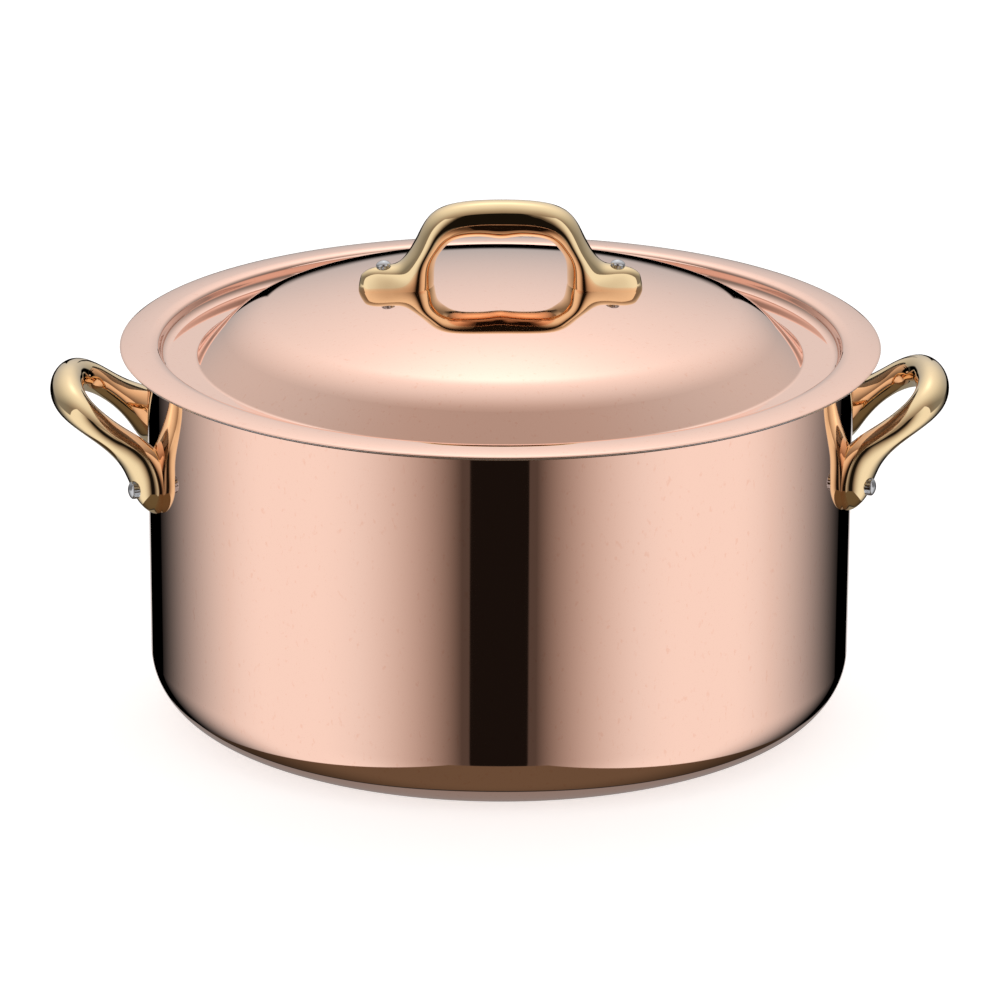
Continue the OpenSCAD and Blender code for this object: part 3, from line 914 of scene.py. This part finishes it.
# %% Bodies, replaced pieces and finishes
POT_RIVETS = ["left_front_rivet", "left_rear_rivet", "right_front_rivet", "right_rear_rivet"]
LID_RIVETS = ["lid_left_rivet", "lid_right_rivet"]
PIECES = [
    (pot_shell, "pot", "copper", ["pot_copper_body"]),
    (pot_lining, "pot", "steel", ["pot_steel_lining"]),
    (left_handle, "pot", "brass", ["left_side_handle"]),
    (right_handle, "pot", "brass", ["right_side_handle"]),
    (pot_rivet_set, "pot", "steel", POT_RIVETS),
    (lid_cover, "lid", "copper", ["lid_copper_cover"]),
    (lid_lining, "lid", "steel", ["lid_steel_lining"]),
    (lid_arch, "lid", "brass", ["lid_handle"]),
    (lid_rivet_set, "lid", "steel", LID_RIVETS),
]

for piece, body, slot, nodes in PIECES:
    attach(piece, body)
    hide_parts(*nodes)
print(len(PIECES), "pieces stand for", sum(len(row[3]) for row in PIECES), "nodes")

# %% [markdown]
# ## The studio
#
# Polished metal has no look of its own: it shows the room. So the room is the last material. It is
# a world whose brightness depends on direction alone, and it holds what stands round a pot that is
# photographed: a soft light overhead and behind, a tall bright panel on each side of the camera
# with a dark gap between them, dark cards at the back and a small table under the pot. A few
# angles and levels describe it, so no image is needed. The camera itself sees plain white.

# %% The camera
VIEW_TURN = math.radians(-1.6)
VIEW_TILT = math.radians(18.496)
VIEW_ROLL = math.radians(0.237)
VIEW_DISTANCE = 1940.98 * MM
VIEW_HEIGHT = 70.6 * MM
VIEW_SIDE = 0.1 * MM
SENSOR_W = 36
LENS = 201.39


def place_camera():
    data = bpy.data.cameras.new("camera")
    data.sensor_width, data.lens = SENSOR_W, LENS
    data.clip_start, data.clip_end = 0.05, 20
    camera = plain_object("camera", data)
    right = Vector((math.cos(VIEW_TURN), math.sin(VIEW_TURN), 0))
    back = Vector((math.sin(VIEW_TURN) * math.cos(VIEW_TILT),
                   -math.cos(VIEW_TURN) * math.cos(VIEW_TILT), math.sin(VIEW_TILT)))
    up = back.cross(right)
    turn_back = Matrix((right, up, back)).transposed() @ Matrix.Rotation(VIEW_ROLL, 3, "Z")
    aim = Vector((0, 0, VIEW_HEIGHT)) + right * VIEW_SIDE
    camera.matrix_world = Matrix.Translation(aim + back * VIEW_DISTANCE) @ turn_back.to_4x4()
    bpy.context.scene.camera = camera
    return camera


camera = place_camera()
print("camera at", [round(c, 3) for c in camera.location])

# %% [markdown]
# The world reads the direction of a ray from its Generated output. It is turned first, so that its
# Y axis points away from the camera. Two angles then say where the ray goes: its turn, which is 0
# towards the camera and 180 behind the pot, and its height above or below the horizon. The studio
# is the same on both sides, so only the size of X counts.

# %% Where a ray goes
def ray_direction(tree):
    """Sockets for a ray's direction, its three parts, and its turn and height in degrees."""
    place = add_node(tree, "ShaderNodeTexCoord")
    turned = add_node(tree, "ShaderNodeVectorRotate", {
        "Vector": place.outputs["Generated"], "Angle": -VIEW_TURN}, rotation_type="Z_AXIS")
    parts = add_node(tree, "ShaderNodeSeparateXYZ", {0: turned})
    beside = add_node(tree, "ShaderNodeMath", {0: parts.outputs["X"]}, operation="ABSOLUTE")
    front = add_node(tree, "ShaderNodeMath", {0: parts.outputs["Y"], 1: -1.0},
                     operation="MULTIPLY")
    turn_angle = add_node(tree, "ShaderNodeMath", {0: beside, 1: front}, operation="ARCTAN2")
    up_angle = add_node(tree, "ShaderNodeMath", {0: parts.outputs["Z"]}, operation="ARCSINE")
    away = add_node(tree, "ShaderNodeMath", {0: up_angle}, operation="COSINE")
    return {
        "way": turned, "beside": beside, "front": front, "up": parts.outputs["Z"], "away": away,
        "turn": add_node(tree, "ShaderNodeMath", {0: turn_angle}, operation="DEGREES"),
        "height": add_node(tree, "ShaderNodeMath", {0: up_angle}, operation="DEGREES")}


print("the studio is turned by", round(math.degrees(VIEW_TURN), 1), "degrees")

# %% [markdown]
# The light overhead is two soft spots, one inside the other, high up behind the pot. Together they
# give the dome its bright middle and soft fall. A spot fades with the angle between the ray and its
# middle: the cosine of that angle, moved to the range 0 to 1 and raised to a power, is a smooth
# bell, and a high power makes a small one. Away from both spots the room keeps a low level.

# %% The light overhead
# Strength, height in degrees and power of each spot
SOFT_SPOTS = [(1.09, 49, 3.8), (0.45, 48, 150)]
ROOM_LEVEL = 0.25


def overhead_light(tree, ray):
    level = 0.0
    for strength, height, power in SOFT_SPOTS:
        middle = (0, math.cos(math.radians(height)), math.sin(math.radians(height)))
        toward = add_node(tree, "ShaderNodeVectorMath", {0: ray["way"], 1: middle},
                          operation="DOT_PRODUCT")
        near = add_node(tree, "ShaderNodeMath", {0: toward.outputs["Value"], 1: 0.5, 2: 0.5},
                        operation="MULTIPLY_ADD")
        bell = add_node(tree, "ShaderNodeMath", {0: near, 1: power}, operation="POWER")
        level = add_node(tree, "ShaderNodeMath", {0: bell, 1: strength, 2: level},
                         operation="MULTIPLY_ADD")
    return add_node(tree, "ShaderNodeMath", {0: level, 1: ROOM_LEVEL}, operation="MAXIMUM")


print("overhead light:", len(SOFT_SPOTS), "soft spots")

# %% [markdown]
# Each tall panel is lit from its outer side, so it is dim beside the gap and climbs to full
# brightness further round: one minus the square of a straight fall. Then three edges shape it: the
# gap's, a long fade round to the side, and the panel's own far edge, which is crisp and draws the
# dark strip inside the pot's outline. A strip of white paper lies low behind the pot.

# %% The tall panels and the paper
PANEL_INNER, PANEL_FULL, PANEL_LEAST = 9.4, 64, 0.09
# Turn at which each edge starts and ends, and the share of the light before and after it
GAP_EDGE = (9.1, 9.7, 0.11, 1)
SIDE_FADE = (80, 152, 1, 0)
FAR_EDGE = (146, 147, 1, 0)
PAPER_SIDE, PAPER_TOP, PAPER_LEVEL = (166, 168), (-14.5, -15.5), 0.7


def panel_light(tree, ray):
    fall = add_node(tree, "ShaderNodeMapRange", {
        "Value": ray["turn"], "From Min": PANEL_INNER, "From Max": PANEL_FULL,
        "To Min": 1.0, "To Max": 0.0})
    squared = add_node(tree, "ShaderNodeMath", {0: fall, 1: fall}, operation="MULTIPLY")
    climb = add_node(tree, "ShaderNodeMath", {0: 1.0, 1: squared}, operation="SUBTRACT")
    level = add_node(tree, "ShaderNodeMath", {0: climb, 1: PANEL_LEAST}, operation="MAXIMUM")
    for start, end, before, after in (GAP_EDGE, SIDE_FADE, FAR_EDGE):
        edge = add_node(tree, "ShaderNodeMapRange", {
            "Value": ray["turn"], "From Min": start, "From Max": end,
            "To Min": before, "To Max": after}, interpolation_type="SMOOTHSTEP")
        level = add_node(tree, "ShaderNodeMath", {0: level, 1: edge}, operation="MULTIPLY")
    return level


def paper_light(tree, ray):
    side = add_node(tree, "ShaderNodeMapRange", {
        "Value": ray["turn"], "From Min": PAPER_SIDE[0], "From Max": PAPER_SIDE[1],
        "To Max": PAPER_LEVEL}, interpolation_type="SMOOTHSTEP")
    low = add_node(tree, "ShaderNodeMapRange", {
        "Value": ray["height"], "From Min": PAPER_TOP[0], "From Max": PAPER_TOP[1]},
        interpolation_type="SMOOTHSTEP")
    return add_node(tree, "ShaderNodeMath", {0: side, 1: low}, operation="MULTIPLY")


print("panels are brightest from", PANEL_FULL, "to", SIDE_FADE[0], "degrees round")

# %% [markdown]
# The table is seen only in the lower part of the wall, in the rounded corner and under the handles.
# Its edge keeps one depth below the horizon in front and drops away towards the sides, which is a
# simple sum of a ray's own parts and would be a long one in angles. Towards the camera the table is
# a warm brown. Behind the pot it mirrors the light overhead, and is a soft sheen.

# %% The table
TABLE_SIDE, TABLE_RISE, TABLE_FRONT = 1.02, 0.2, 0.49
TABLE_SOFT = 0.012
TABLE_CURVE = -2.6
BROWN_FROM, BROWN_LEVEL, SHADE_LEVEL = -0.06, 0.15, 0.02
SHEEN_FROM, SHEEN_LEVEL = 0.05, 0.28
TABLE_BACK, TABLE_NEAR, BACK_SHARE = -0.6, 0.3, 0.3


def over_table(tree, ray):
    """0 where a ray meets the table, and 1 where it passes over the table's edge."""
    rise = add_node(tree, "ShaderNodeMath", {0: ray["away"], 1: TABLE_RISE}, operation="MULTIPLY")
    side = add_node(tree, "ShaderNodeMath", {0: ray["beside"], 1: TABLE_SIDE, 2: rise},
                    operation="MULTIPLY_ADD")
    level = add_node(tree, "ShaderNodeMath", {0: ray["away"], 1: TABLE_FRONT},
                     operation="MULTIPLY")
    edge = add_node(tree, "ShaderNodeMath", {0: side, 1: level}, operation="MAXIMUM")
    over = add_node(tree, "ShaderNodeMath", {0: ray["up"], 1: edge})
    return add_node(tree, "ShaderNodeMapRange", {
        "Value": over, "From Min": -TABLE_SOFT, "From Max": TABLE_SOFT},
        interpolation_type="SMOOTHSTEP")


def table_fold(tree, ray):
    """Below zero where a ray goes down towards the camera, above zero where it goes down behind."""
    slant = add_node(tree, "ShaderNodeMath", {0: ray["front"], 1: ray["up"]},
                     operation="MULTIPLY")
    wide = add_node(tree, "ShaderNodeMath", {0: ray["beside"], 1: ray["beside"]},
                    operation="MULTIPLY")
    return add_node(tree, "ShaderNodeMath", {0: wide, 1: TABLE_CURVE, 2: slant},
                    operation="MULTIPLY_ADD")


def table_light(tree, ray, fold):
    brown = add_node(tree, "ShaderNodeMapRange", {
        "Value": fold, "From Max": BROWN_FROM, "To Min": SHADE_LEVEL, "To Max": BROWN_LEVEL},
        interpolation_type="SMOOTHSTEP")
    near = add_node(tree, "ShaderNodeMapRange", {
        "Value": ray["front"], "From Min": TABLE_BACK, "From Max": TABLE_NEAR,
        "To Min": BACK_SHARE}, interpolation_type="SMOOTHSTEP")
    lit = add_node(tree, "ShaderNodeMath", {0: brown, 1: near}, operation="MULTIPLY")
    sheen = add_node(tree, "ShaderNodeMapRange", {
        "Value": fold, "From Max": SHEEN_FROM, "To Max": SHEEN_LEVEL},
        interpolation_type="SMOOTHSTEP")
    return add_node(tree, "ShaderNodeMath", {0: lit, 1: sheen}, operation="MAXIMUM")


print("table levels:", BROWN_LEVEL, "in front and", SHEEN_LEVEL, "behind")

# %% [markdown]
# The light overhead starts where the panels and the cards end. The panels are tall beside the
# camera and end below the horizon at the sides. Behind the pot a dark card rises to a low peak on
# each side, which draws the thin black line along the far edge of the dome. Its two slopes are two
# straight ramps, and the lower of them counts.

# %% Where the light overhead starts
PANEL_TOP, SIDE_TOP, TOP_BEND = 62, -9, (60, 90)
CARD_TURNS, CARD_FOOT, CARD_PEAK = (168, 170.86, 178), -4, 7.43
CARD_FROM = (115, 147)
TOP_SOFT = 1.5


def over_cards(tree, ray):
    """0 where a ray meets a panel, a card or the table, and 1 where it meets the light overhead."""
    panels = add_node(tree, "ShaderNodeMapRange", {
        "Value": ray["turn"], "From Min": TOP_BEND[0], "From Max": TOP_BEND[1],
        "To Min": PANEL_TOP, "To Max": SIDE_TOP}, interpolation_type="SMOOTHSTEP")
    rising = add_node(tree, "ShaderNodeMapRange", {
        "Value": ray["turn"], "From Min": CARD_TURNS[0], "From Max": CARD_TURNS[1],
        "To Min": CARD_FOOT, "To Max": CARD_PEAK})
    falling = add_node(tree, "ShaderNodeMapRange", {
        "Value": ray["turn"], "From Min": CARD_TURNS[1], "From Max": CARD_TURNS[2],
        "To Min": CARD_PEAK, "To Max": CARD_FOOT})
    card = add_node(tree, "ShaderNodeMath", {0: rising, 1: falling}, operation="MINIMUM")
    behind = add_node(tree, "ShaderNodeMapRange", {
        "Value": ray["turn"], "From Min": CARD_FROM[0], "From Max": CARD_FROM[1]},
        interpolation_type="SMOOTHSTEP")
    top = add_node(tree, "ShaderNodeMix", {"Factor": behind, "A": panels, "B": card})
    over = add_node(tree, "ShaderNodeMath", {0: ray["height"], 1: top}, operation="SUBTRACT")
    return add_node(tree, "ShaderNodeMapRange", {
        "Value": over, "From Min": -TOP_SOFT, "From Max": TOP_SOFT},
        interpolation_type="SMOOTHSTEP")


print("a ray clears the cards within", 2 * TOP_SOFT, "degrees")

# %% [markdown]
# Now the parts are laid over each other: the table, the panels above its edge and the light
# overhead above their tops. Dim light that comes from the front is a little warm, because it has
# met the room's walls, and the table gives its own colour. Last, the camera's own rays are told
# apart by the Light Path node and see plain white.

# %% The studio put together
WARM, COOL, TABLE_COLOR = "#FFE2D0", "#FFFDFC", "#FFDDB4"
NEUTRAL_LEVEL = 0.9
WARM_FRONT, COOL_BACK = 0.6, -0.3


def light_color(tree, ray, level, on_table):
    bright = add_node(tree, "ShaderNodeMapRange", {"Value": level, "From Max": NEUTRAL_LEVEL})
    back = add_node(tree, "ShaderNodeMapRange", {
        "Value": ray["front"], "From Min": WARM_FRONT, "From Max": COOL_BACK},
        interpolation_type="SMOOTHSTEP")
    neutral = add_node(tree, "ShaderNodeMath", {0: bright, 1: back}, operation="MAXIMUM")
    room = add_node(tree, "ShaderNodeMix", {
        "Factor": neutral, "A": linear(WARM), "B": linear(COOL)}, data_type="RGBA")
    return add_node(tree, "ShaderNodeMix", {
        "Factor": on_table, "A": room.outputs["Result"], "B": linear(TABLE_COLOR)},
        data_type="RGBA").outputs["Result"]


def studio_world():
    world = bpy.data.worlds.new("studio")
    world.use_nodes = True
    tree = world.node_tree
    tree.nodes.clear()
    ray = ray_direction(tree)
    fold, edge, above = table_fold(tree, ray), over_table(tree, ray), over_cards(tree, ray)

    panels = add_node(tree, "ShaderNodeMath", {0: panel_light(tree, ray), 1: paper_light(tree, ray)})
    low = add_node(tree, "ShaderNodeMix", {
        "Factor": edge, "A": table_light(tree, ray, fold), "B": panels})
    level = add_node(tree, "ShaderNodeMix", {
        "Factor": above, "A": low, "B": overhead_light(tree, ray)})

    brown = add_node(tree, "ShaderNodeMapRange", {"Value": fold, "From Max": BROWN_FROM},
                     interpolation_type="SMOOTHSTEP")
    clear = add_node(tree, "ShaderNodeMath", {0: edge, 1: above}, operation="MAXIMUM")
    meets = add_node(tree, "ShaderNodeMath", {0: 1.0, 1: clear}, operation="SUBTRACT")
    on_table = add_node(tree, "ShaderNodeMath", {0: brown, 1: meets}, operation="MULTIPLY")

    room = add_node(tree, "ShaderNodeBackground", {
        "Color": light_color(tree, ray, level, on_table), "Strength": level})
    white = add_node(tree, "ShaderNodeBackground", {"Color": (1, 1, 1, 1), "Strength": 1.0})
    path = add_node(tree, "ShaderNodeLightPath")
    seen = add_node(tree, "ShaderNodeMixShader", {
        0: path.outputs["Is Camera Ray"], 1: room, 2: white})
    add_node(tree, "ShaderNodeOutputWorld", {"Surface": seen})
    return world


bpy.context.scene.world = studio_world()
print("studio world:", len(bpy.context.scene.world.node_tree.nodes), "nodes")

# %% [markdown]
# The floor is plain and pale. It keeps the soft shadow under the pot, and a little light of its own,
# which only the camera sees, brings its pale colour up to the white of the background. A wide white
# floor would drown the small table in every reflection, so polished metal doesn't see it.

# %% The floor
FLOOR_R = 4.0
FLOOR_SEGMENTS = 64
FLOOR_GLOW = 0.62


def pale_floor():
    shape = bmesh.new()
    bmesh.ops.create_circle(shape, cap_ends=True, segments=FLOOR_SEGMENTS, radius=FLOOR_R)
    mesh = bpy.data.meshes.new("floor")
    shape.to_mesh(mesh)
    shape.free()
    floor = plain_object("floor", mesh)
    material = bpy.data.materials.new("matt white floor")
    material.use_nodes = True
    tree = material.node_tree
    tree.nodes.clear()
    matt = add_node(tree, "ShaderNodeBsdfDiffuse", {"Color": linear("#F4F4F4")})
    path = add_node(tree, "ShaderNodeLightPath")
    strength = add_node(tree, "ShaderNodeMath", {
        0: path.outputs["Is Camera Ray"], 1: FLOOR_GLOW}, operation="MULTIPLY")
    glow = add_node(tree, "ShaderNodeEmission", {"Strength": strength})
    both = add_node(tree, "ShaderNodeAddShader", {0: matt, 1: glow})
    add_node(tree, "ShaderNodeOutputMaterial", {"Surface": both})
    mesh.materials.append(material)
    floor.visible_glossy = False
    return floor


floor = pale_floor()
bpy.context.scene.view_settings.view_transform = "Standard"
print("floor radius", FLOOR_R, "m")
